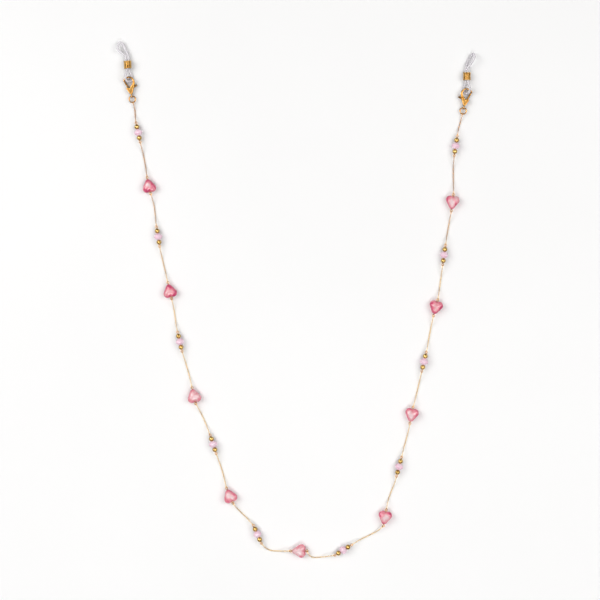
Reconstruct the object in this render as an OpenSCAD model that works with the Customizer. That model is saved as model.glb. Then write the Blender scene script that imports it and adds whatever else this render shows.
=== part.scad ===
// Eyeglasses chain strap, lying flat on a table.
// Two silicone temple loops with lobster clasps, joined by a fine chain that
// carries glass hearts and clusters of a faceted rondelle between two gold balls.

/* [Silicone temple loops] */
// Thickness of the silicone cord
cord_d = 1.4; // [1.2:0.1:1.5]
// Width of the upper loop, between the middles of its two strands
loop_w = 4.2; // [3:0.1:4.6]
// How far the end of each loop leans outward
loop_lean = 3.4; // [0:0.1:3.6]
// Outer diameter of the coil ferrule
ferrule_d = 4.7; // [4.5:0.1:4.8]
// Length of the coil ferrule
ferrule_l = 5.2; // [4:0.1:6]

/* [Clasps and jump rings] */
// Width of the lobster clasp
clasp_w = 7; // [6.6:0.1:7.4]
// Thickness of the lobster clasp
clasp_t = 3.1; // [3:0.1:3.2]
// Diameter of the opening in the claw
claw_d = 4.9; // [4.7:0.1:5]
// Outer diameter of the jump rings
jump_d = 4.5; // [4.2:0.1:5]
// Wire thickness of the jump rings
jump_wire = 0.72; // [0.6:0.02:0.8]

/* [Beads] */
// Width of a heart bead
heart_w = 8.2; // [7.4:0.1:9]
// Thickness of a heart bead, and the diameter of a rondelle
bead_t = 5; // [4.5:0.1:5.2]
// Length of a rondelle along its pin
rondelle_l = 3.6; // [3:0.1:4]
// Diameter of a gold spacer ball
ball_d = 3; // [2.6:0.1:3.2]

/* [Pins and chain] */
// Diameter of the straight part of an eye pin
pin_d = 0.6; // [0.5:0.02:0.64]
// Diameter of the hole through every bead
bore_d = 0.76; // [0.72:0.02:0.8]
// Wire thickness of an eye
eye_wire = 0.5; // [0.4:0.02:0.52]
// Wire thickness of a chain link
link_wire = 0.34; // [0.3:0.02:0.36]
// Width of the chain
chain_d = 0.9; // [0.7:0.05:1]

/* [Hidden] */
$fn = 48;
hearts = 9;
clusters = 10;
left = -1;
right = 1;
side_name = ["left", "", "right"];

// Middle of each cluster and heart from the left end to the right end: x, y and heading
stations = [
    [-94.6, 100.5, -78], [-88.1, 68.5, -78],
    [-82.6, 38, -81], [-75.6, 5.5, -77],
    [-69.6, -25, -77], [-61.1, -57.5, -77],
    [-49.6, -86.5, -72], [-39.6, -117.5, -67],
    [-23.1, -140.5, -66], [1.9, -150.5, 0],
    [28.4, -150, 32], [53.4, -130.5, 80],
    [61.9, -100, 75], [69.4, -69, 79],
    [76.9, -37, 77], [83.9, -4.5, 75],
    [88.9, 27, 82], [93.9, 58.5, 83],
    [95.9, 92.5, 81]
];
// Each stretch of chain: heading where it starts and ends, and how stiffly it holds each
stretches = [
    [-76, -80, 5, 5], [-76, -80, 7, 7], [-72, -81, 7, 7], [-80, -76, 7, 7],
    [-77, -77, 7, 7], [-74, -77, 7, 7], [-62, -68, 7, 7], [-71, -77, 7, 7],
    [-54, -49, 6, 6], [-52, 2, 6, 9], [-62, 9, 4.5, 12.5], [32, 44, 7, 7],
    [80, 76, 7, 7], [76, 80, 7, 7], [73, 78, 7, 7], [77, 78, 7, 7],
    [80, 84, 7, 7], [80, 81, 7, 7], [87, 85, 7, 7], [80, 77, 5, 5]
];
// Middle of the opening in each claw, and the heading of its clasp and silicone loop
claw_at = [[-100.1, 130.5], [102.4, 123.5]];
clasp_heading = [101, 79];
loop_heading = [94, 89];

gap = 0.05;
hair = 0.02;
pin_z = bead_t / 2;
far = 20;

// Eyes and links: the middle of the wire runs on a circle of this radius
eye_r = 0.63;
link_r = 0.5;
jump_link_r = 0.72;
jump_r = (jump_d - jump_wire) / 2;
ball_x = rondelle_l / 2 + 0.1 + ball_d / 2;
cluster_eye_x = ball_x + ball_d / 2 + 0.05 + eye_r + eye_wire / 2;
heart_l = 8;
heart_point_eye_x = -heart_l / 2 - 0.15 - eye_r - eye_wire / 2;
heart_notch_eye_x = heart_l / 2 + 0.75;

// Clasp, measured from the middle of the claw's opening with +X to the nose
claw_r = claw_d / 2;
claw_ahead = 0.25;
clasp_r = clasp_w / 2;
clasp_neck = [-6.3, 0];
clasp_neck_r = 0.95;
clasp_tail_x = -8.3;
tail_eye_r = 0.85;
tail_wire = 0.7;
jump_x = clasp_tail_x - jump_r;
mid_z = clasp_t / 2;
nose_z = 2.15;
pivot = [-3.9, 0.75];
pivot_pin_r = 0.4;
gate_low = 0.7;
gate_high = 1.9;
gate_w = 0.9;
gate_tip = [0.95, 2.5];
tab_tip = [-2.5, -4.1];
mouth_r = norm(gate_tip - pivot) + gate_w / 2 + 0.1;
spring_r = 0.8;

// Silicone loop, measured from the middle of the claw's opening
cord_z = 2.55;
cord_r = cord_d / 2;
strand = 0.8;
ferrule_x = 10.7;
ferrule_bore_r = 1.78;
ferrule_turns = 7;
lower_tilt = 44;
upper_tilt = [12, 50];
lean_from = 14.8;
lean_to = [21.5, 24.2];
loop_end = 24.2;
cord_sides = 10;
cord_steps = 4;
chain_sides = 8;
chain_steps = 11;

// ---- Small tools ----

function heading(a) = [cos(a), sin(a)];
function side_index(side) = side == left ? 0 : 1;
function middle(station) = [station[0], station[1]];
function ease(t) = t <= 0 ? 0 : t >= 1 ? 1 : t * t * (3 - 2 * t);
function unit(v) = v / norm(v);

// Where the outer line that touches two circles meets the first and the second, and a
// hair inside them, so that a shape drawn between the points crosses the circles cleanly
function touch_points(a, ra, b, rb, hand) =
    let (
        across = b - a,
        turn = atan2(across[1], across[0]) + hand * acos((ra - rb) / norm(across))
    )
    [a + (ra - hair) * heading(turn), b + (rb - hair) * heading(turn)];

module ring(radius, wire) {
    rotate_extrude()
        translate([radius, 0])
            circle(d = wire);
}

// A ring that stands on edge, with its middle on the X axis
module link(radius, wire) {
    rotate([90, 0, 0]) ring(radius, wire);
}

module along_x(length, radius) {
    rotate([0, 90, 0])
        cylinder(h = length, r = radius, center = true);
}

module place(station, z) {
    translate([station[0], station[1], z])
        rotate([0, 0, station[2]])
            children();
}

// ---- A tube swept along points, open or closed on itself ----

function tube_ring(at, ahead, up, radius, sides) =
    let (
        across = unit(cross(up, ahead)),
        over = cross(ahead, across)
    )
    [for (i = [0 : sides - 1])
        at + radius * (cos(360 * i / sides) * across + sin(360 * i / sides) * over)];

module tube(points, ups, radius, sides, closed) {
    n = len(points);
    aheads = [for (i = [0 : n - 1])
        closed
            ? unit(points[(i + 1) % n] - points[(i + n - 1) % n])
            : unit(points[min(i + 1, n - 1)] - points[max(i - 1, 0)])];
    corners = [for (i = [0 : n - 1])
        each tube_ring(points[i], aheads[i], ups[i], radius, sides)];
    spans = closed ? n : n - 1;
    walls = [for (i = [0 : spans - 1])
        for (j = [0 : sides - 1])
            let (
                here = i * sides,
                next = ((i + 1) % n) * sides,
                k = (j + 1) % sides
            )
            [here + j, next + j, next + k, here + k]];
    first_cap = [for (j = [0 : sides - 1]) j];
    last_cap = [for (j = [0 : sides - 1]) n * sides - 1 - j];
    polyhedron(corners, closed ? walls : concat(walls, [first_cap, last_cap]));
}

// ---- Beads ----

module heart_outline() {
    lobe_r = heart_w * 0.3;
    lobe = [heart_l / 2 - lobe_r, heart_w / 2 - lobe_r];
    tip_r = 1.9;
    tip = [tip_r - heart_l / 2, 0];
    high = touch_points(lobe, lobe_r, tip, tip_r, -1);
    union() {
        translate(lobe) circle(lobe_r);
        translate([lobe[0], -lobe[1]]) circle(lobe_r);
        translate(tip) circle(tip_r);
        polygon([
            lobe,
            high[0],
            high[1],
            tip,
            [high[1][0], -high[1][1]],
            [high[0][0], -high[0][1]],
            [lobe[0], -lobe[1]]
        ]);
    }
}

module heart_bead(k) {
    pillow_r = 8;
    station = stations[2 * k - 1];
    color("palevioletred")
        place(station, pin_z)
            difference() {
                intersection() {
                    linear_extrude(height = bead_t, center = true) heart_outline();
                    translate([0, 0, pillow_r - bead_t / 2]) sphere(pillow_r);
                    translate([0, 0, bead_t / 2 - pillow_r]) sphere(pillow_r);
                }
                along_x(far, bore_d / 2);
            }
}

module rondelle(k) {
    r = bead_t / 2;
    face_r = r * 0.5;
    belt = rondelle_l * 0.17;
    station = stations[2 * k - 2];
    color("thistle")
        place(station, pin_z)
            difference() {
                rotate([0, 90, 0])
                    rotate_extrude($fn = 12)
                        polygon([
                            [0, -rondelle_l / 2],
                            [face_r, -rondelle_l / 2],
                            [r, -belt],
                            [r, belt],
                            [face_r, rondelle_l / 2],
                            [0, rondelle_l / 2]
                        ]);
                along_x(far, bore_d / 2);
            }
}

module spacer_balls(k) {
    station = stations[2 * k - 2];
    color("goldenrod")
        place(station, pin_z)
            for (x = [-ball_x, ball_x])
                translate([x, 0, 0])
                    rotate([0, 90, 0])
                        rotate_extrude()
                            difference() {
                                circle(d = ball_d);
                                translate([bore_d / 2 - far, -far]) square([far, 2 * far]);
                            }
}

// ---- Eye pins and chain ----

module eye_pin(from_x, to_x) {
    stem = to_x - from_x - 2 * eye_r;
    translate([(from_x + to_x) / 2, 0, 0]) along_x(stem, pin_d / 2);
    translate([from_x, 0, 0]) ring(eye_r, eye_wire);
    translate([to_x, 0, 0]) ring(eye_r, eye_wire);
}

module heart_pin(k) {
    station = stations[2 * k - 1];
    color("goldenrod")
        place(station, pin_z)
            eye_pin(heart_point_eye_x, heart_notch_eye_x);
}

function jump_middle(side) =
    let (i = side_index(side))
    claw_at[i] + jump_x * heading(clasp_heading[i]);

// Middle of the eye or jump ring that the chain leaves, or comes to, at a station
function is_heart(i) = i % 2 == 1;
function eye_after(i) =
    i < 0 ? jump_middle(left)
    : middle(stations[i])
        + (is_heart(i) ? heart_notch_eye_x : cluster_eye_x) * heading(stations[i][2]);
function eye_before(i) =
    i == len(stations) ? jump_middle(right)
    : middle(stations[i])
        + (is_heart(i) ? heart_point_eye_x : -cluster_eye_x) * heading(stations[i][2]);

// Stretch s runs from station s - 1 to station s
function on_jump_start(s) = s == 0;
function on_jump_end(s) = s == len(stations);
function hold_r(on_jump) = on_jump ? jump_r : eye_r;
function grip_r(on_jump) = on_jump ? jump_link_r : link_r;
function hold_z(on_jump) = on_jump ? mid_z : pin_z;
function reach(on_jump) = hold_r(on_jump) + grip_r(on_jump) + link_wire / 2 + gap;

function bend_point(a, b, c, d, t) =
    pow(1 - t, 3) * a + 3 * pow(1 - t, 2) * t * b + 3 * (1 - t) * t * t * c + t * t * t * d;

function stretch_points(s) =
    let (
        row = stretches[s],
        out = heading(row[0]),
        back = heading(row[1]),
        start = eye_after(s - 1) + reach(on_jump_start(s)) * out,
        end = eye_before(s) - reach(on_jump_end(s)) * back,
        low = chain_d / 2 + 0.02,
        start_z = hold_z(on_jump_start(s)),
        end_z = hold_z(on_jump_end(s))
    )
    [for (i = [0 : chain_steps])
        let (
            t = i / chain_steps,
            p = bend_point(start, start + row[2] * out, end - row[3] * back, end, t),
            z = low + (start_z - low) * ease(1 - t / 0.35) + (end_z - low) * ease((t - 0.65) / 0.35)
        )
        [p[0], p[1], z]];

module end_link(eye, a, toward, on_jump) {
    translate([eye[0], eye[1], hold_z(on_jump)])
        rotate([0, 0, a])
            translate([toward * hold_r(on_jump), 0, 0])
                link(grip_r(on_jump), link_wire);
}

module stretch(s) {
    points = stretch_points(s);
    ups = [for (p = points) [0, 0, 1]];
    tube(points, ups, chain_d / 2, chain_sides, false);
    end_link(eye_after(s - 1), stretches[s][0], 1, on_jump_start(s));
    end_link(eye_before(s), stretches[s][1], -1, on_jump_end(s));
}

module chain(k) {
    i = 2 * k - 2;
    color("goldenrod") {
        stretch(i);
        stretch(i + 1);
        place(stations[i], pin_z) eye_pin(-cluster_eye_x, cluster_eye_x);
    }
}

// ---- Clasps ----

// The clasp's own frame: the middle of the claw's opening, with the gate on +Y
module at_claw(side) {
    i = side_index(side);
    translate([claw_at[i][0], claw_at[i][1], 0])
        rotate([0, 0, clasp_heading[i]])
            mirror([0, side == right ? 1 : 0, 0])
                children();
}

module drop_outline(r, tip, tip_r) {
    high = touch_points([0, 0], r, tip, tip_r, -1);
    low = touch_points([0, 0], r, tip, tip_r, 1);
    circle(r);
    translate(tip) circle(tip_r);
    polygon([[0, 0], high[0], high[1], tip, low[1], low[0]]);
}

// A bar with round ends between two points
module bar_outline(a, b, w) {
    way = b - a;
    translate(a) circle(d = w);
    translate(b) circle(d = w);
    translate(a)
        rotate(atan2(way[1], way[0]))
            translate([0, -w / 2]) square([norm(way), w]);
}

module slab(low, high) {
    translate([0, 0, low]) linear_extrude(height = high - low) children();
}

module jump_ring(side) {
    color("goldenrod")
        at_claw(side)
            translate([jump_x, 0, mid_z])
                ring(jump_r, jump_wire);
}

module clasp_body(side) {
    clear = 0.12;
    color("goldenrod")
        at_claw(side) {
            difference() {
                slab(0, clasp_t) drop_outline(clasp_r, clasp_neck, clasp_neck_r);
                // the opening in the claw, which narrows toward the tail
                slab(-1, clasp_t + 1)
                    translate([claw_ahead, 0]) drop_outline(claw_r, [-3.1, 0.15], 0.5);
                // the mouth that the gate closes, cut round the lever's pivot
                slab(-1, clasp_t + 1)
                    intersection() {
                        translate(pivot) circle(mouth_r);
                        polygon([
                            [0, 0], [4, 0.9], [4, 5], [-4, 5],
                            [-4, 4], [-2.9, 1.4], [-2.6, 0.4]
                        ]);
                    }
                // the nose is thin underneath, where the silicone passes
                slab(-1, nose_z)
                    polygon([[-0.6, 0.8], [-0.6, -5], [5, -5], [5, 0.8]]);
                // the slot that the lever swings in
                slab(gate_low - clear, gate_high + clear) {
                    translate(pivot) circle(1.05);
                    polygon([
                        pivot + [-0.9, 0.5], pivot + [-0.7, 2.5],
                        pivot + [2, 2.5], pivot + [2, -0.4]
                    ]);
                    polygon([
                        pivot + [-0.75, -0.6], [-5.2, -4.6],
                        [-1.4, -4.6], pivot + [0.95, -0.2]
                    ]);
                }
                // the hole for the lever's pin, blind at both ends
                translate([pivot[0], pivot[1], 0.3])
                    cylinder(h = clasp_t - 0.6, r = pivot_pin_r + gap);
                // the pocket for the spring
                translate([pivot[0], pivot[1], gate_high])
                    cylinder(h = 0.65, r = spring_r + gap);
            }
            // the eye at the tail stands on edge
            translate([clasp_tail_x, 0, mid_z])
                link(tail_eye_r, tail_wire);
        }
}

module clasp_lever(side) {
    color("goldenrod")
        at_claw(side) {
            slab(gate_low, gate_high) {
                bar_outline(pivot, gate_tip, gate_w);
                translate(pivot) circle(0.9);
                bar_outline(pivot, tab_tip, gate_w);
            }
            translate([pivot[0], pivot[1], 0.35])
                cylinder(h = clasp_t - 0.7, r = pivot_pin_r);
        }
}

module clasp_spring(side) {
    color("silver")
        at_claw(side)
            translate([pivot[0], pivot[1], gate_high + gap])
                difference() {
                    cylinder(h = 0.5, r = spring_r);
                    translate([0, 0, -1]) cylinder(h = 3, r = pivot_pin_r + gap);
                }
}

// ---- Silicone loops and ferrules ----

module at_loop(side) {
    i = side_index(side);
    translate([claw_at[i][0], claw_at[i][1], cord_z])
        rotate([0, 0, loop_heading[i]])
            children();
}

// One half of the loop from the claw to its far end: distance along, and half the spread
loop_half = [
    [0.3, 0], [0.95, 1.7], [2.8, 2.45], [4.7, 2], [6.4, 1.2], [8, strand],
    [10, strand], [12, strand], [14, strand], [15.8, strand + 0.05],
    [17.6, loop_w / 2 - 0.6], [20, loop_w / 2], [22.4, loop_w / 2 - 0.45],
    [loop_end, 0]
];

function curve_point(p, i, t) =
    let (n = len(p), a = p[(i + n - 1) % n], b = p[i], c = p[(i + 1) % n], d = p[(i + 2) % n])
    0.5 * (2 * b + t * (c - a) + t * t * (2 * a - 5 * b + 4 * c - d)
        + t * t * t * (3 * b - a - 3 * c + d));

function tilt_at(x, upper) = lower_tilt + (upper - lower_tilt) * ease((x - 6) / 9);

module temple_loop(side) {
    i = side_index(side);
    far_half = [for (j = [len(loop_half) - 2 : -1 : 1]) [loop_half[j][0], -loop_half[j][1]]];
    outline = concat(loop_half, far_half);
    flat = [for (j = [0 : len(outline) - 1])
        for (m = [0 : cord_steps - 1])
            curve_point(outline, j, m / cord_steps)];
    tilts = [for (p = flat) tilt_at(p[0], upper_tilt[i])];
    lean = -side * loop_lean;
    points = [for (j = [0 : len(flat) - 1])
        let (
            p = flat[j],
            aside = lean * ease((p[0] - lean_from) / (lean_to[i] - lean_from))
        )
        [p[0], aside - side * p[1] * cos(tilts[j]), p[1] * sin(tilts[j])]];
    ups = [for (a = tilts) [0, side * sin(a), cos(a)]];
    color("whitesmoke")
        at_loop(side)
            tube(points, ups, cord_r, cord_sides, true);
}

module ferrule(side) {
    pitch = ferrule_l / ferrule_turns;
    color("goldenrod")
        at_loop(side)
            translate([ferrule_x - ferrule_l / 2, 0, 0])
                rotate([0, 90, 0])
                    rotate_extrude()
                        difference() {
                            union() {
                                square([ferrule_d / 2 - pitch / 4, ferrule_l]);
                                for (t = [0 : ferrule_turns - 1])
                                    translate([ferrule_d / 2 - pitch / 2, (t + 0.5) * pitch])
                                        circle(d = pitch - 0.02);
                            }
                            translate([-1, -1])
                                square([ferrule_bore_r + 1, ferrule_l + 2]);
                        }
}

for (k = [1 : hearts]) {
    heart_bead(k);
    heart_pin(k);
}
for (k = [1 : clusters]) {
    rondelle(k);
    spacer_balls(k);
    chain(k);
}
for (side = [left, right]) {
    jump_ring(side);
    clasp_body(side);
    clasp_lever(side);
    clasp_spring(side);
    temple_loop(side);
    ferrule(side);
}
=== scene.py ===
"""Eyeglasses chain strap, lying on a table: the looks of every piece.

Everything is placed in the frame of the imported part. Sizes are millimetres until a mesh is
made; Blender holds metres.
"""

import math

import bpy
from mathutils import Matrix, Vector


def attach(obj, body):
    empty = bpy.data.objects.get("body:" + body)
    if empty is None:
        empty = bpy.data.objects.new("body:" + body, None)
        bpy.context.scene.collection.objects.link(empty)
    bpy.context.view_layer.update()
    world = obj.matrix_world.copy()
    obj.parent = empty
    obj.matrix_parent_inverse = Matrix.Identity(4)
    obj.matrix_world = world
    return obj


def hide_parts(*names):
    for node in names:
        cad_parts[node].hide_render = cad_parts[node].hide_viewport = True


MM = 0.001
UP = Vector((0, 0, 1))
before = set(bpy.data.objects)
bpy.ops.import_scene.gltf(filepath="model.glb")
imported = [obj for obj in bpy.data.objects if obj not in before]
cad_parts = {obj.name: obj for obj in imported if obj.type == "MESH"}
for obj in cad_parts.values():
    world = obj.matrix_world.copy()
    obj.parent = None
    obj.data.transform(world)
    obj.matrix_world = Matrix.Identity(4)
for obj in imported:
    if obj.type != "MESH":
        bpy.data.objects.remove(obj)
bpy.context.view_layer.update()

# ---- Where everything lies: x, y and heading of each cluster (even) and heart (odd) ----

STATIONS = [
    (-94.6, 100.5, -78), (-88.1, 68.5, -78), (-82.6, 38, -81), (-75.6, 5.5, -77),
    (-69.6, -25, -77), (-61.1, -57.5, -77), (-49.6, -86.5, -72), (-39.6, -117.5, -67),
    (-23.1, -140.5, -66), (1.9, -150.5, 0), (28.4, -150, 32), (53.4, -130.5, 80),
    (61.9, -100, 75), (69.4, -69, 79), (76.9, -37, 77), (83.9, -4.5, 75),
    (88.9, 27, 82), (93.9, 58.5, 83), (95.9, 92.5, 81),
]
# Each stretch of chain: heading where it starts and ends, and how stiffly it holds each
STRETCHES = [
    (-76, -80, 5, 5), (-76, -80, 7, 7), (-72, -81, 7, 7), (-80, -76, 7, 7), (-77, -77, 7, 7),
    (-74, -77, 7, 7), (-62, -68, 7, 7), (-71, -77, 7, 7), (-54, -49, 6, 6), (-52, 2, 6, 9),
    (-62, 9, 4.5, 12.5), (32, 44, 7, 7), (80, 76, 7, 7), (76, 80, 7, 7), (73, 78, 7, 7),
    (77, 78, 7, 7), (80, 84, 7, 7), (80, 81, 7, 7), (87, 85, 7, 7), (80, 77, 5, 5),
]
CLAW = {"left": (-100.1, 130.5), "right": (102.4, 123.5)}
CLASP_HEADING = {"left": 101, "right": 79}
LOOP_HEADING = {"left": 94, "right": 89}

BEAD_T = 5.0
PIN_Z = BEAD_T / 2
PIN_R = 0.3
BORE_R = 0.38
EYE_R, EYE_WIRE = 0.63, 0.5
LINK_R, JUMP_LINK_R, LINK_WIRE = 0.5, 0.72, 0.3
CHAIN_LOW = 0.47  # height of the chain's middle where it lies on the table
CHAIN_HANG = 0.35  # share of a stretch, at each end, that climbs to its eye
LINK_REACH = 0.22  # from an end link's wire to the start of the small links' route
LINK_INSET = 0.185  # from an end of that route to the middle of its first or last link
PITCH = 1.1  # wanted distance between the middles of small links
EYE_TONE = 0.55  # tone of the clusters' pins and of the end links
RONDELLE_L = 3.6
BALL_R = 1.5
BALL_X = 3.4
CLUSTER_EYE_X = 5.83
HEART_L, HEART_W = 8.0, 8.2
HEART_POINT_EYE_X, HEART_NOTCH_EYE_X = -5.03, 4.75
JUMP_WIRE, JUMP_R = 0.72, 1.89
JUMP_X = -8.3 - JUMP_R
MID_Z = 1.55
CORD_Z, CORD_R = 2.55, 0.7
FERRULE_X, FERRULE_L, FERRULE_R, FERRULE_TURNS = 10.7, 5.2, 2.35, 7


def heading(degrees):
    return Vector((math.cos(math.radians(degrees)), math.sin(math.radians(degrees)), 0))


def place(x, y, z, degrees):
    return Matrix.Translation((x, y, z)) @ Matrix.Rotation(math.radians(degrees), 4, "Z")


def station_place(i):
    x, y, a = STATIONS[i]
    return place(x, y, PIN_Z, a)


# ---- Mesh building ----

def add_piece(name, parts, material, body, node):
    """One object from several parts in millimetres, standing for one CAD node.

    A part is (vertices, faces), or (vertices, faces, tones). A tone says where a vertex's colour
    lies between the first (0) and the last (1) of its material.
    """
    verts, faces, tones = [], [], []
    for part_verts, part_faces, *part_tones in parts:
        base = len(verts)
        verts += [Vector(v) * MM for v in part_verts]
        faces += [[base + i for i in f] for f in part_faces]
        tones += part_tones[0] if part_tones else [0] * len(part_verts)
    mesh = bpy.data.meshes.new(name)
    mesh.from_pydata(verts, [], faces)
    mesh.attributes.new("rim", "FLOAT", "POINT").data.foreach_set("value", tones)
    mesh.materials.append(material)
    piece = bpy.data.objects.new(name, mesh)
    bpy.context.scene.collection.objects.link(piece)
    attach(piece, body)
    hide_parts(node)
    return piece


def shade_smooth(piece):
    piece.data.polygons.foreach_set("use_smooth", [True] * len(piece.data.polygons))


def moved(part, matrix):
    verts, *rest = part
    return [matrix @ Vector(v) for v in verts], *rest


def rings_to_part(rings, closed_along):
    """Joins rings of equal length, one after another. An open run gets a cap at each end."""
    sides, n = len(rings[0]), len(rings)
    verts = [p for ring in rings for p in ring]
    faces = []
    for i in range(n if closed_along else n - 1):
        a, b = i * sides, (i + 1) % n * sides
        for j in range(sides):
            k = (j + 1) % sides
            faces.append([a + j, b + j, b + k, a + k][::-1])
    if not closed_along:
        faces.append(list(range(sides)))
        faces.append([n * sides - 1 - j for j in range(sides)])
    return verts, faces


def sweep(points, radius, sides, closed, ups=None):
    """A round tube along points. ups gives a direction off the path at each one, +Z if left out."""
    n, rings = len(points), []
    ups = ups or [UP] * n
    for i, p in enumerate(points):
        if closed:
            ahead = points[(i + 1) % n] - points[i - 1]
        else:
            ahead = points[min(i + 1, n - 1)] - points[max(i - 1, 0)]
        ahead.normalize()
        across = ups[i].cross(ahead).normalized()
        over = ahead.cross(across)
        rings.append([
            p + radius * (math.cos(t) * across + math.sin(t) * over)
            for t in (2 * math.pi * j / sides for j in range(sides))
        ])
    return rings_to_part(rings, closed)


def flat_ring(radius, wire, steps, sides):
    points = [radius * heading(360 * i / steps) for i in range(steps)]
    return sweep(points, wire / 2, sides, True)


def revolve(profile, sides):
    """A closed profile of (x, radius) turned round the X axis."""
    rings = [
        [Vector((x, r * math.cos(t), r * math.sin(t)))
         for t in (2 * math.pi * j / sides for j in range(sides))]
        for x, r in profile
    ]
    return rings_to_part(rings, True)


# ---- Materials ----

def new_material(name):
    material = bpy.data.materials.new(name)
    material.use_nodes = True
    tree = material.node_tree
    return material, tree, tree.nodes["Principled BSDF"]


def add_noise(tree, scale, detail):
    where = tree.nodes.new("ShaderNodeTexCoord")
    noise = tree.nodes.new("ShaderNodeTexNoise")
    noise.inputs["Scale"].default_value = scale
    noise.inputs["Detail"].default_value = detail
    tree.links.new(where.outputs["Object"], noise.inputs["Vector"])
    return noise


def add_ramp(tree, value, stops):
    """A colour ramp fed by a socket. Stops are (position, colour), from low to high."""
    ramp = tree.nodes.new("ShaderNodeValToRGB")
    elements = ramp.color_ramp.elements
    elements[0].position, elements[0].color = stops[0]
    elements[1].position, elements[1].color = stops[-1]
    for position, colour in stops[1:-1]:
        elements.new(position).color = colour
    tree.links.new(value, ramp.inputs["Fac"])
    return ramp.outputs["Color"]


def spread_noise(tree, noise, low, high):
    """Noise stretched to run from low to high. Most noise lies between 0.3 and 0.7."""
    span = tree.nodes.new("ShaderNodeMapRange")
    span.inputs["From Min"].default_value = 0.3
    span.inputs["From Max"].default_value = 0.7
    span.inputs["To Min"].default_value = low
    span.inputs["To Max"].default_value = high
    tree.links.new(noise.outputs["Fac"], span.inputs["Value"])
    return span.outputs["Result"]


def vary_colour(tree, shader, noise, stops):
    tree.links.new(add_ramp(tree, noise.outputs["Fac"], stops), shader.inputs["Base Color"])


def vary_roughness(tree, shader, noise, low, high):
    tree.links.new(spread_noise(tree, noise, low, high), shader.inputs["Roughness"])


def add_bump(tree, shader, scale, height, strength):
    noise = add_noise(tree, scale, 3)
    bump = tree.nodes.new("ShaderNodeBump")
    bump.inputs["Strength"].default_value = strength
    bump.inputs["Distance"].default_value = height
    tree.links.new(noise.outputs["Fac"], bump.inputs["Height"])
    tree.links.new(bump.outputs["Normal"], shader.inputs["Normal"])
    return bump


def soften_edges(tree, bump, radius):
    """Shades the edges as if they were rounded to a radius in mm."""
    bevel = tree.nodes.new("ShaderNodeBevel")
    bevel.samples = 6
    bevel.inputs["Radius"].default_value = radius * MM
    tree.links.new(bevel.outputs["Normal"], bump.inputs["Normal"])


def paint_shade_low(tree, shader, low, high, low_shade_tone):
    """Painted shade: metal colour falls from a piece's top to its underside, between two heights in
    mm.
    """
    where = tree.nodes.new("ShaderNodeTexCoord")
    split = tree.nodes.new("ShaderNodeSeparateXYZ")
    span = tree.nodes.new("ShaderNodeMapRange")
    span.inputs["From Min"].default_value = low * MM
    span.inputs["From Max"].default_value = high * MM
    span.inputs["To Min"].default_value = low_shade_tone
    span.interpolation_type = "SMOOTHSTEP"
    dim = tree.nodes.new("ShaderNodeVectorMath")
    dim.operation = "SCALE"
    colour = shader.inputs["Base Color"].links[0].from_socket
    tree.links.new(where.outputs["Object"], split.inputs["Vector"])
    tree.links.new(split.outputs["Z"], span.inputs["Value"])
    tree.links.new(colour, dim.inputs[0])
    tree.links.new(span.outputs["Result"], dim.inputs["Scale"])
    tree.links.new(dim.outputs["Vector"], shader.inputs["Base Color"])


def metal(name, dark, light, roughness, grain, heights, low_shade_tone=0.4, edge=0):
    """Roughness and heights are (low, high). Between the heights, in mm, painted shade takes the
    colour from full down to its low shade tone. Grain is the noise's scale, edge how round edges
    look, in mm."""
    material, tree, shader = new_material(name)
    shader.inputs["Metallic"].default_value = 1.0
    noise = add_noise(tree, grain, 4)
    vary_colour(tree, shader, noise, [(0.35, (*dark, 1)), (0.65, (*light, 1))])
    # Painted shade: the colour darkens toward the piece's underside
    paint_shade_low(tree, shader, *heights, low_shade_tone)
    vary_roughness(tree, shader, add_noise(tree, grain * 2.5, 3), *roughness)
    bump = add_bump(tree, shader, grain * 3, height=0.00003, strength=0.25)
    if edge:
        soften_edges(tree, bump, edge)
    return material


def colour_and_shade_by_rim(tree, shader, stops, wander, scale=110):
    """Colour by the tone on the mesh, pushed about by noise.

    Tone runs from the middle of a heart or cord (0) to its rim (1), a painted shade ramp. Chain has
    one for each link.
    """
    rim = tree.nodes.new("ShaderNodeAttribute")
    rim.attribute_name = "rim"
    push = spread_noise(tree, add_noise(tree, scale, 3), -wander, wander)
    add = tree.nodes.new("ShaderNodeMath")
    tree.links.new(rim.outputs["Fac"], add.inputs[0])
    tree.links.new(push, add.inputs[1])
    tree.links.new(add_ramp(tree, add.outputs["Value"], stops), shader.inputs["Base Color"])


def glass(name, transmission, roughness, ior):
    material, tree, shader = new_material(name)
    shader.inputs["Transmission Weight"].default_value = transmission
    shader.inputs["IOR"].default_value = ior
    vary_roughness(tree, shader, add_noise(tree, 900, 2), *roughness)
    return material, tree, shader


GOLD_CLASP = metal(
    "gold_clasp", (0.64, 0.28, 0.05), (0.96, 0.53, 0.15), roughness=(0.10, 0.22),
    grain=350, heights=(0.8, 3.1), low_shade_tone=0.22, edge=0.8)
GOLD_BALL = metal(
    "gold_ball", (0.62, 0.38, 0.10), (0.86, 0.58, 0.20), roughness=(0.10, 0.22),
    grain=420, heights=(2.1, 3.7), low_shade_tone=0.22)
GOLD_COIL = metal(
    "gold_coil", (0.62, 0.34, 0.08), (0.88, 0.56, 0.18), roughness=(0.14, 0.28),
    grain=300, heights=(1.2, 4.7), low_shade_tone=0.25)
GOLD_WIRE = metal(
    "gold_wire", (0.62, 0.34, 0.12), (0.88, 0.56, 0.24), roughness=(0.16, 0.32),
    grain=500, heights=(0.9, 2.6), low_shade_tone=0.4)
GOLD_RING = metal(
    "gold_ring", (0.62, 0.28, 0.07), (0.90, 0.50, 0.16), roughness=(0.12, 0.26),
    grain=500, heights=(1.0, 2.0), low_shade_tone=0.25)
STEEL = metal(
    "spring_steel", (0.42, 0.42, 0.44), (0.62, 0.62, 0.63), roughness=(0.25, 0.4),
    grain=600, heights=(0, 3))

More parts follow.
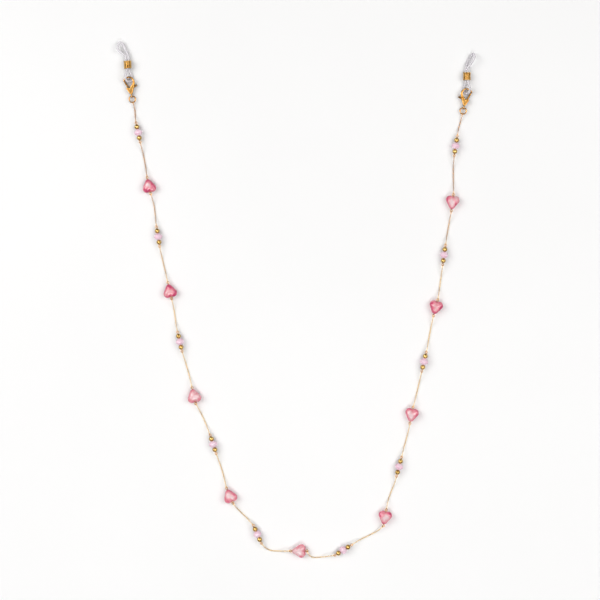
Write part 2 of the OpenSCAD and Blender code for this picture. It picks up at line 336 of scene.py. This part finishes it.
GOLD_CHAIN, tree, shader = new_material("gold_chain")
shader.inputs["Metallic"].default_value = 0.85
# The dark end of this ramp also gives painted shade to every other link
colour_and_shade_by_rim(tree, shader, [
    (0.0, (1.0, 0.80, 0.42, 1)), (0.5, (0.86, 0.52, 0.25, 1)), (1.0, (0.36, 0.16, 0.08, 1)),
], wander=0.12, scale=300)
vary_roughness(tree, shader, add_noise(tree, 700, 3), 0.22, 0.38)
ROSE_GLASS, tree, shader = glass("rose_glass", transmission=0.2, roughness=(0.04, 0.12), ior=1.5)
shader.inputs["Coat Weight"].default_value = 0.5
# The pink is the glass's own; lighter toward the middle is painted highlight, darker toward the rim
# painted shade
colour_and_shade_by_rim(tree, shader, [
    (0.0, (1.0, 0.74, 0.77, 1)), (0.32, (1.0, 0.50, 0.54, 1)),
    (0.72, (1.0, 0.27, 0.37, 1)), (1.0, (0.74, 0.09, 0.21, 1)),
], wander=0.45, scale=380)
add_bump(tree, shader, scale=420, height=0.0006, strength=0.6)
PINK_GLASS, tree, shader = glass("pink_glass", transmission=0.05, roughness=(0.06, 0.16), ior=1.5)
vary_colour(tree, shader, add_noise(tree, 500, 2),
            [(0.3, (1.0, 0.60, 0.76, 1)), (0.7, (1.0, 0.80, 0.90, 1))])
SILICONE, tree, shader = glass("clear_silicone", transmission=0.4, roughness=(0.12, 0.24), ior=1.41)
# Greyer toward the cord's rim is painted shade at its edges
colour_and_shade_by_rim(tree, shader, [
    (0.1, (0.98, 0.96, 0.98, 1)), (0.65, (0.92, 0.89, 0.93, 1)), (1.0, (0.78, 0.74, 0.80, 1)),
], wander=0.1)

# ---- Hearts and their eye pins ----

def touch_points(a, ra, b, rb):
    """Where the upper line that touches two circles meets the first and the second."""
    across = b - a
    turn = math.atan2(across.y, across.x) - math.acos((ra - rb) / across.length)
    way = Vector((math.cos(turn), math.sin(turn)))
    return a + ra * way, b + rb * way


LOBE_R, TIP_R = HEART_W * 0.3, 1.9
LOBE = Vector((HEART_L / 2 - LOBE_R, HEART_W / 2 - LOBE_R))
TIP = Vector((TIP_R - HEART_L / 2, 0))
SIDE_START, SIDE_END = touch_points(LOBE, LOBE_R, TIP, TIP_R)


def far_side_of_circle(way, middle, radius):
    along = way.dot(middle)
    inside = radius**2 - (middle.length_squared - along**2)
    return along + math.sqrt(inside) if inside > 0 else 0


def heart_reach(angle):
    """Distance from the heart's middle to its outline in one direction."""
    angle = abs(math.remainder(angle, 2 * math.pi))
    way = Vector((math.cos(angle), math.sin(angle)))
    reach = max(far_side_of_circle(way, LOBE, LOBE_R), far_side_of_circle(way, TIP, TIP_R))
    side = SIDE_END - SIDE_START
    cross = way.x * side.y - way.y * side.x
    if abs(cross) > 1e-9:
        along_side = (SIDE_START.y * way.x - SIDE_START.x * way.y) / -cross
        if 0 <= along_side <= 1:
            reach = max(reach, (SIDE_START + along_side * side).dot(way))
    return reach


def heart_part(depth, rings=40, sides=36):
    """A puffy heart with a hole from point to notch, in rings round the hole.

    Depth shifts its colour toward the rim's (positive) or the middle's (negative).
    """
    plump = 0.92  # below 1 fills out the two faces
    made, rim = [], []
    for i in range(rings + 1):
        around = math.pi * (1 - i / rings)
        ring = []
        for j in range(sides):
            t = 2 * math.pi * j / sides
            s = math.sin(around)
            unit = Vector((math.cos(around), s * math.cos(t), s * math.sin(t)))
            spread = math.hypot(unit.x, unit.y)
            reach = heart_reach(math.atan2(unit.y, unit.x)) if spread > 1e-6 else 0
            flat = Vector((unit.x, unit.y)) * reach
            z = math.copysign(PIN_Z * abs(unit.z) ** plump, unit.z)
            p = Vector((flat.x, flat.y, z))
            off = math.hypot(p.y, p.z)
            if off < BORE_R:
                p.y, p.z = BORE_R * math.cos(t), BORE_R * math.sin(t)
            ring.append(p)
            # Tone for the painted highlight in the middle and the painted shade at the rim
            rim.append(spread + depth)
        made.append(ring)
    return *rings_to_part(made, True), rim


def eye(x, turn):
    """An eye turned from wire: a nearly closed ring whose wire comes in from the stem."""
    points = [
        Vector((x, 0, 0)) + EYE_R * heading(turn + a)
        for a in [8 + i * 344 / 26 for i in range(27)]
    ]
    return sweep(points, EYE_WIRE / 2, 10, False)


def eye_pin(from_x, to_x):
    """A straight stem with an eye at each end. It reaches a little way into their wire."""
    bite, steps = 0.05, 12
    start, end = from_x + EYE_R - bite, to_x - EYE_R + bite
    stem = [Vector((start + i / steps * (end - start), 0, 0)) for i in range(steps + 1)]
    return [
        sweep(stem, PIN_R, 14, False),
        eye(from_x, 0),
        eye(to_x, 180),
    ]


HEART_DEPTH = 0.05, 0.05, -0.2, -0.2, -0.3, -0.15, -0.2, 0.05, -0.15
for k in range(1, 10):
    at = station_place(2 * k - 1)
    heart = add_piece(f"heart_{k}", [moved(heart_part(HEART_DEPTH[k - 1]), at)], ROSE_GLASS,
                      f"heart_{k}", f"heart_bead_{k}")
    shade_smooth(heart)
    pin = add_piece(
        f"heart_eye_pin_{k}",
        [moved(part, at) for part in eye_pin(HEART_POINT_EYE_X, HEART_NOTCH_EYE_X)],
        GOLD_WIRE, f"pin_{k}", f"heart_pin_{k}",
    )
    shade_smooth(pin)

# ---- Rondelles and gold balls ----

def rondelle_part():
    """A faceted bead: two rows of facets each side of a zigzag belt, twelve to a row."""
    half, r, n = RONDELLE_L / 2, BEAD_T / 2, 12
    rows = [(-half, r * 0.5, 0), (-half * 0.48, r * 0.87, 0.5), (-0.25, r * 0.995, 0),
            (0.25, r * 0.995, 0.5), (half * 0.48, r * 0.87, 0), (half, r * 0.5, 0.5)]
    verts, faces = [], []
    for x, radius, shift in rows:
        for j in range(n):
            t = 2 * math.pi * (j + shift) / n
            verts.append(Vector((x, radius * math.cos(t), radius * math.sin(t))))
    for i in range(len(rows) - 1):
        a, b = i * n, (i + 1) * n
        for j in range(n):
            k = (j + 1) % n
            if rows[i][2] == 0:
                faces += [[a + j, a + k, b + j], [b + j, a + k, b + k]]
            else:
                faces += [[a + j, b + k, b + j], [a + j, a + k, b + k]]
    bore = [len(verts), len(verts) + n]
    for x, shift in ((-half, 0), (half, 0.5)):
        for j in range(n):
            t = 2 * math.pi * (j + shift) / n
            verts.append(Vector((x, BORE_R * math.cos(t), BORE_R * math.sin(t))))
    last = (len(rows) - 1) * n
    for j in range(n):
        k = (j + 1) % n
        faces.append([j, bore[0] + j, bore[0] + k, k])
        faces.append([last + j, last + k, bore[1] + k, bore[1] + j])
        faces.append([bore[0] + j, bore[1] + j, bore[1] + k, bore[0] + k])
    return verts, faces


def ball_part(x):
    start = math.asin(BORE_R / BALL_R)
    steps = 18
    profile = []
    for i in range(steps + 1):
        a = start + (math.pi - 2 * start) * i / steps
        profile.append((x - BALL_R * math.cos(a), BALL_R * math.sin(a)))
    return revolve(profile, 28)


for k in range(1, 11):
    at = station_place(2 * k - 2)
    add_piece(f"faceted_rondelle_{k}", [moved(rondelle_part(), at)], PINK_GLASS,
              f"rondelle_{k}", f"rondelle_{k}")
    balls = add_piece(f"gold_balls_{k}", [moved(ball_part(x), at) for x in (-BALL_X, BALL_X)],
                      GOLD_BALL, f"chain_{k}", f"spacer_balls_{k}")
    shade_smooth(balls)

# ---- Chain: real interlinked links along each stretch ----

def jump_middle(side):
    x, y = CLAW[side]
    return Vector((x, y, 0)) + JUMP_X * heading(CLASP_HEADING[side])


def eye_at(i, leaving):
    """Middle of the eye or jump ring that the chain leaves, or comes to, at station i."""
    if i < 0:
        return jump_middle("left")
    if i == len(STATIONS):
        return jump_middle("right")
    x, y, a = STATIONS[i]
    if i % 2:
        off = HEART_NOTCH_EYE_X if leaving else HEART_POINT_EYE_X
    else:
        off = CLUSTER_EYE_X if leaving else -CLUSTER_EYE_X
    return Vector((x, y, 0)) + off * heading(a)


def ease(t):
    t = min(max(t, 0), 1)
    return t * t * (3 - 2 * t)


def route(s, samples=160):
    """Points along stretch s of the chain, from its first end link to its last."""
    first, last, start_hold, end_hold = STRETCHES[s]
    out, back = heading(first), heading(last)
    at_start, at_end = s == 0, s == len(STATIONS)
    start_r, end_r = (JUMP_R if e else EYE_R for e in (at_start, at_end))
    start_link, end_link = (JUMP_LINK_R if e else LINK_R for e in (at_start, at_end))
    start_z, end_z = (MID_Z if e else PIN_Z for e in (at_start, at_end))
    start = eye_at(s - 1, True) + (start_r + start_link + LINK_REACH) * out
    end = eye_at(s, False) - (end_r + end_link + LINK_REACH) * back
    b, c = start + start_hold * out, end - end_hold * back
    points = []
    for i in range(samples + 1):
        t = i / samples
        p = ((1 - t) ** 3 * start + 3 * (1 - t) ** 2 * t * b
             + 3 * (1 - t) * t * t * c + t**3 * end)
        p.z = (CHAIN_LOW + (start_z - CHAIN_LOW) * ease(1 - t / CHAIN_HANG)
               + (end_z - CHAIN_LOW) * ease((t - 1 + CHAIN_HANG) / CHAIN_HANG))
        points.append(p)
    return points


def oval_link(length, width, wire):
    """A cable link in its own XY plane: two straight sides and two round ends."""
    r = (width - wire) / 2
    straight = (length - wire) / 2 - r
    points = []
    for middle, start in ((straight, -90), (-straight, 90)):
        for i in range(8):
            points.append(Vector((middle, 0, 0)) + r * heading(start + 180 * i / 7))
    return sweep(points, wire / 2, 7, True)


SMALL_LINK = oval_link(1.62, 0.82, 0.27)


def chain_parts(s):
    points = route(s)
    lengths = [0]
    for a, b in zip(points, points[1:]):
        lengths.append(lengths[-1] + (b - a).length)
    linked = lengths[-1] - 2 * LINK_INSET
    count = round(linked / PITCH)
    count += 1 - count % 2
    parts = []
    for i in range(count):
        want = LINK_INSET + linked * i / (count - 1)
        j = max(n for n, length in enumerate(lengths) if length <= want)
        j = min(j, len(points) - 2)
        share = (want - lengths[j]) / (lengths[j + 1] - lengths[j])
        at = points[j].lerp(points[j + 1], share)
        ahead = (points[j + 1] - points[j]).normalized()
        across = UP.cross(ahead).normalized()
        over = ahead.cross(across)
        turn = Matrix((ahead, across, over)).transposed().to_4x4()
        roll = Matrix.Rotation(math.radians(90 * (i % 2)), 4, "X")
        verts, faces = moved(SMALL_LINK, Matrix.Translation(at) @ turn @ roll)
        # Every other link is painted darker, as shade on the links that catch no glint, and all are
        # browner toward the clasps
        tone = 0.5 * (i % 2) + 0.55 * ease((at.y + 10) / 90)
        parts.append((verts, faces, [tone] * len(verts)))
    return parts


def end_link(i, s, leaving):
    """The round link that hangs, on edge, in an eye or jump ring."""
    on_jump = i < 0 or i == len(STATIONS)
    a = STRETCHES[s][0 if leaving else 1]
    hold = JUMP_R if on_jump else EYE_R
    eye_middle = eye_at(i, leaving)
    at = place(eye_middle.x, eye_middle.y, MID_Z if on_jump else PIN_Z, a)
    aside = Matrix.Translation((hold if leaving else -hold, 0, 0))
    stand = aside @ Matrix.Rotation(math.pi / 2, 4, "X")
    link = flat_ring(JUMP_LINK_R if on_jump else LINK_R, LINK_WIRE, 24, 8)
    return moved(link, at @ stand)


for k in range(1, 11):
    i = 2 * k - 2
    parts = [moved(part, station_place(i)) for part in eye_pin(-CLUSTER_EYE_X, CLUSTER_EYE_X)]
    for s in (i, i + 1):
        parts += [end_link(s - 1, s, True), end_link(s, s, False)]
    parts = [(verts, faces, [EYE_TONE] * len(verts)) for verts, faces in parts]
    for s in (i, i + 1):
        parts += chain_parts(s)
    shade_smooth(add_piece(f"cable_chain_{k}", parts, GOLD_CHAIN,
                           f"chain_{k}", f"chain_{k}"))

# ---- Jump rings, clasps, silicone loops and ferrules ----

# Half of the silicone's outline: how far along it from its end in the claw, and to one side
LOOP_HALF = [
    (0.3, 0), (0.95, 1.7), (2.8, 2.45), (4.7, 2), (6.4, 1.2), (8, 0.8), (10, 0.8), (12, 0.8),
    (14, 0.8), (15.8, 0.85), (17.6, 1.5), (20, 2.1), (22.4, 1.65), (24.2, 0),
]
# Degrees that its lower ring and its upper loop are tipped, and where one turns into the other
LOWER_TILT = 44
UPPER_TILT = {"left": 12, "right": 50}
TWIST_FROM, TWIST_LENGTH = 6, 9
# How far its upper loop leans aside, and where that starts and ends
LEAN, LEAN_FROM = 3.4, 14.8
LEAN_TO = {"left": 21.5, "right": 24.2}


def curve_point(p, i, t):
    a, b, c, d = (p[(i + n) % len(p)] for n in (-1, 0, 1, 2))
    return 0.5 * (2 * b + t * (c - a) + t * t * (2 * a - 5 * b + 4 * c - d)
                  + t**3 * (3 * b - a - 3 * c + d))


def silicone_part(side):
    half = [Vector(p) for p in LOOP_HALF]
    outline = half + [Vector((p.x, -p.y)) for p in half[-2:0:-1]]
    sign = -1 if side == "left" else 1
    points, ups = [], []
    for i in range(len(outline)):
        for m in range(8):
            p = curve_point(outline, i, m / 8)
            twist = ease((p.x - TWIST_FROM) / TWIST_LENGTH)
            tilt = math.radians(LOWER_TILT + (UPPER_TILT[side] - LOWER_TILT) * twist)
            aside = LEAN * ease((p.x - LEAN_FROM) / (LEAN_TO[side] - LEAN_FROM))
            points.append(Vector((
                p.x,
                -sign * (aside + p.y * math.cos(tilt)),
                p.y * math.sin(tilt),
            )))
            ups.append(Vector((0, sign * math.sin(tilt), math.cos(tilt))))
    sides = 20
    verts, faces = sweep(points, CORD_R, sides, True, ups)
    # Tone for the painted shade at the cord's edges
    rim = [(v - points[i // sides]).to_2d().length / CORD_R for i, v in enumerate(verts)]
    return verts, faces, rim


def coil_part():
    """The ferrule: one length of gold wire wound close, from end to end."""
    wire, per_turn = 0.7, 36
    radius = FERRULE_R - wire / 2
    steps = FERRULE_TURNS * per_turn
    rise = (FERRULE_L - wire) / steps
    points = [
        Vector((i * rise - (FERRULE_L - wire) / 2, radius * math.cos(t), radius * math.sin(t)))
        for i in range(steps + 1)
        for t in [2 * math.pi * i / per_turn]
    ]
    return sweep(points, wire / 2, 10, False, [Vector((1, 0, 0))] * len(points))


def round_off(name, cell, passes):
    """Rounds a clasp's CAD node as casting and polishing do."""
    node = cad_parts[name]
    remesh = node.modifiers.new("cast", "REMESH")
    remesh.mode = "VOXEL"
    remesh.voxel_size = cell * MM
    remesh.use_smooth_shade = True
    smooth = node.modifiers.new("polish", "SMOOTH")
    smooth.factor = 0.5
    smooth.iterations = passes


def finish_node(name, material):
    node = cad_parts[name]
    node.data.materials.clear()
    node.data.materials.append(material)


for side in ("left", "right"):
    middle = jump_middle(side)
    # The ring's cut is 6 degrees wide
    cut = [JUMP_R * heading(CLASP_HEADING[side] + 128 + 354 * i / 60) for i in range(61)]
    wire = sweep(cut, JUMP_WIRE / 2, 16, False)
    ring_at = Matrix.Translation((middle.x, middle.y, MID_Z))
    shade_smooth(add_piece(f"split_ring_{side}", [moved(wire, ring_at)],
                           GOLD_RING, f"ring_{side}", f"jump_ring_{side}"))
    loop_at = place(*CLAW[side], CORD_Z, LOOP_HEADING[side])
    shade_smooth(add_piece(f"silicone_{side}", [moved(silicone_part(side), loop_at)],
                           SILICONE, f"loop_{side}", f"temple_loop_{side}"))
    coil_at = loop_at @ Matrix.Translation((FERRULE_X, 0, 0))
    shade_smooth(add_piece(f"coil_{side}", [moved(coil_part(), coil_at)],
                           GOLD_COIL, f"ferrule_{side}", f"ferrule_{side}"))
    round_off(f"clasp_body_{side}", 0.09, 9)
    round_off(f"clasp_lever_{side}", 0.08, 3)
    finish_node(f"clasp_body_{side}", GOLD_CLASP)
    finish_node(f"clasp_lever_{side}", GOLD_CLASP)
    finish_node(f"clasp_spring_{side}", STEEL)

# ---- Table, light and camera ----

def add_floor():
    size, drop = 4, -0.0001  # metres; it lies just under the pieces
    corners = [(-size, -size), (size, -size), (size, size), (-size, size)]
    mesh = bpy.data.meshes.new("table")
    mesh.from_pydata([(x, y, drop) for x, y in corners], [], [[0, 1, 2, 3]])
    material, tree, shader = new_material("white_table")
    noise = add_noise(tree, 6, 3)
    vary_colour(tree, shader, noise,
                [(0.3, (0.93, 0.93, 0.93, 1)), (0.7, (0.95, 0.95, 0.95, 1))])
    shader.inputs["Roughness"].default_value = 0.6
    mesh.materials.append(material)
    table = bpy.data.objects.new("table", mesh)
    bpy.context.scene.collection.objects.link(table)


def add_light(name, at, size, power, aim):
    light = bpy.data.lights.new(name, "AREA")
    light.shape = "RECTANGLE"
    light.size, light.size_y = size
    light.energy = power
    lamp = bpy.data.objects.new(name, light)
    lamp.location = at
    lamp.rotation_euler = (Vector(aim) - Vector(at)).to_track_quat("-Z", "Y").to_euler()
    bpy.context.scene.collection.objects.link(lamp)


def add_sky():
    """A studio that is bright overhead and dark toward the walls."""
    world = bpy.data.worlds.new("studio")
    bpy.context.scene.world = world
    world.use_nodes = True
    tree = world.node_tree
    where = tree.nodes.new("ShaderNodeTexCoord")
    split = tree.nodes.new("ShaderNodeSeparateXYZ")
    tree.links.new(where.outputs["Generated"], split.inputs["Vector"])
    sky = add_ramp(tree, split.outputs["Z"], [
        (0.0, (0.03, 0.028, 0.025, 1)), (0.75, (0.10, 0.095, 0.09, 1)),
        (0.98, (0.62, 0.61, 0.60, 1)),
    ])
    tree.links.new(sky, tree.nodes["Background"].inputs["Color"])


add_floor()
add_sky()
add_light("key", (-0.85, 0.25, 1.0), (0.9, 0.9), 10.0, (0, 0, 0))
add_light("fill", (0.75, 0.1, 1.0), (0.8, 0.8), 6.4, (0, 0, 0))
add_light("front", (0.05, -0.7, 0.95), (0.5, 0.25), 3.0, (0, 0, 0))

bpy.context.scene.view_settings.view_transform = "Standard"
camera_data = bpy.data.cameras.new("camera")
camera_data.lens = 100
camera_data.sensor_width = 36
camera = bpy.data.objects.new("camera", camera_data)
camera.location = (0.0025, 0, 1.002)
bpy.context.scene.collection.objects.link(camera)
bpy.context.scene.camera = camera
